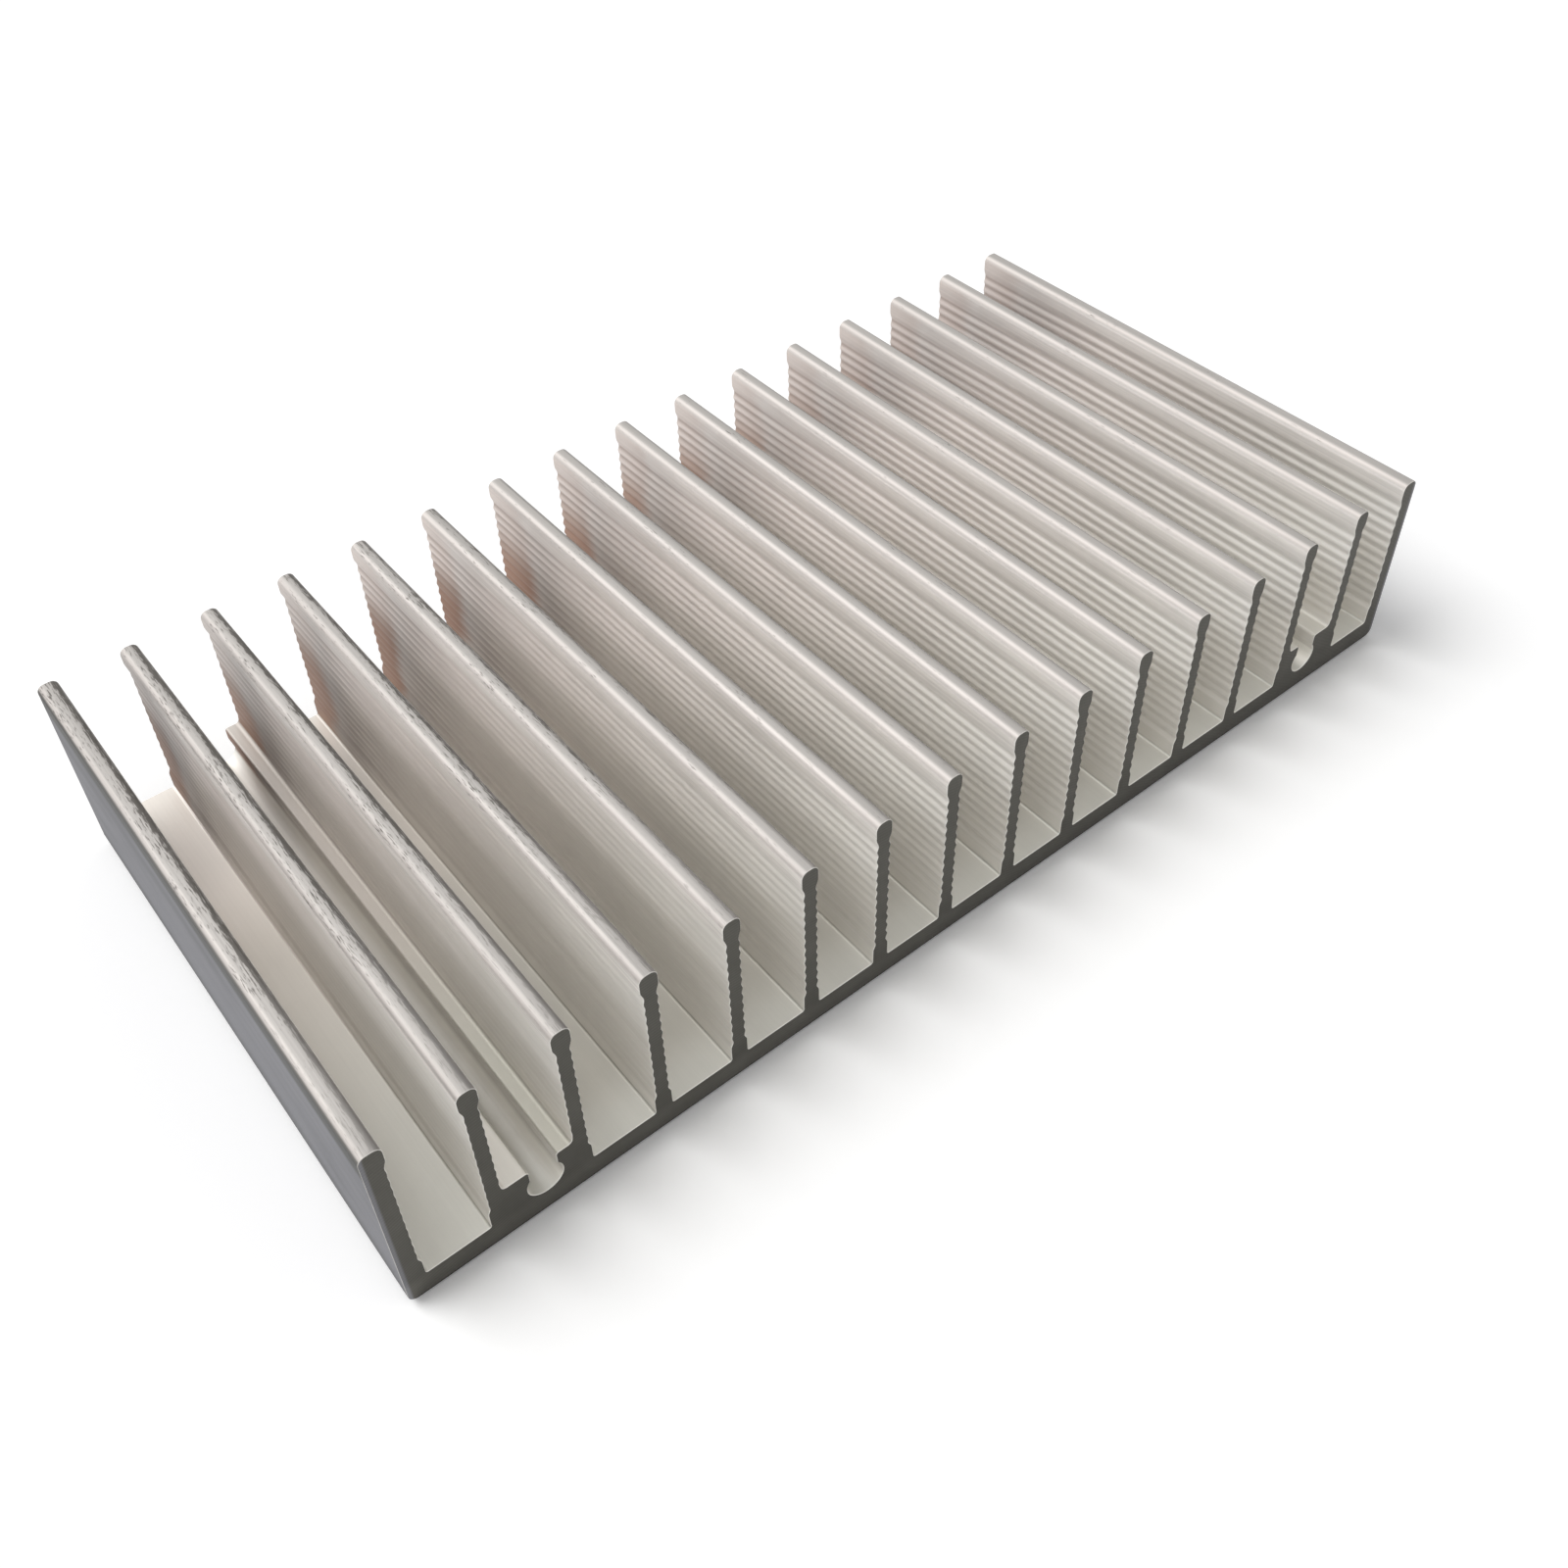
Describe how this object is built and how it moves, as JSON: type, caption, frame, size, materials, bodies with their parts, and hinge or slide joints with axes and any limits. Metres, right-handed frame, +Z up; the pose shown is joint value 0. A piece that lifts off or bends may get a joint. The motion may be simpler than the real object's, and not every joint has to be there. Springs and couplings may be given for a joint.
{
  "type": "extruded heat sink",
  "caption": "Flat extruded aluminium heat sink: a thin base with a row of tall, finely rippled cooling fins and an open screw channel near each side.",
  "frame": {"origin": "middle of the flat underside", "axes": "+X across the fins, along the width; +Y along the extrusion, the way that the air flows; +Z up out of the base, along the fins"},
  "size_m": [0.15, 0.076, 0.0263],
  "materials": {
    "aluminium": "bare, as extruded, satin, with sawn ends"
  },
  "bodies": {
    "root": {"heat_sink": "aluminium"}
  },
  "joints": []
}
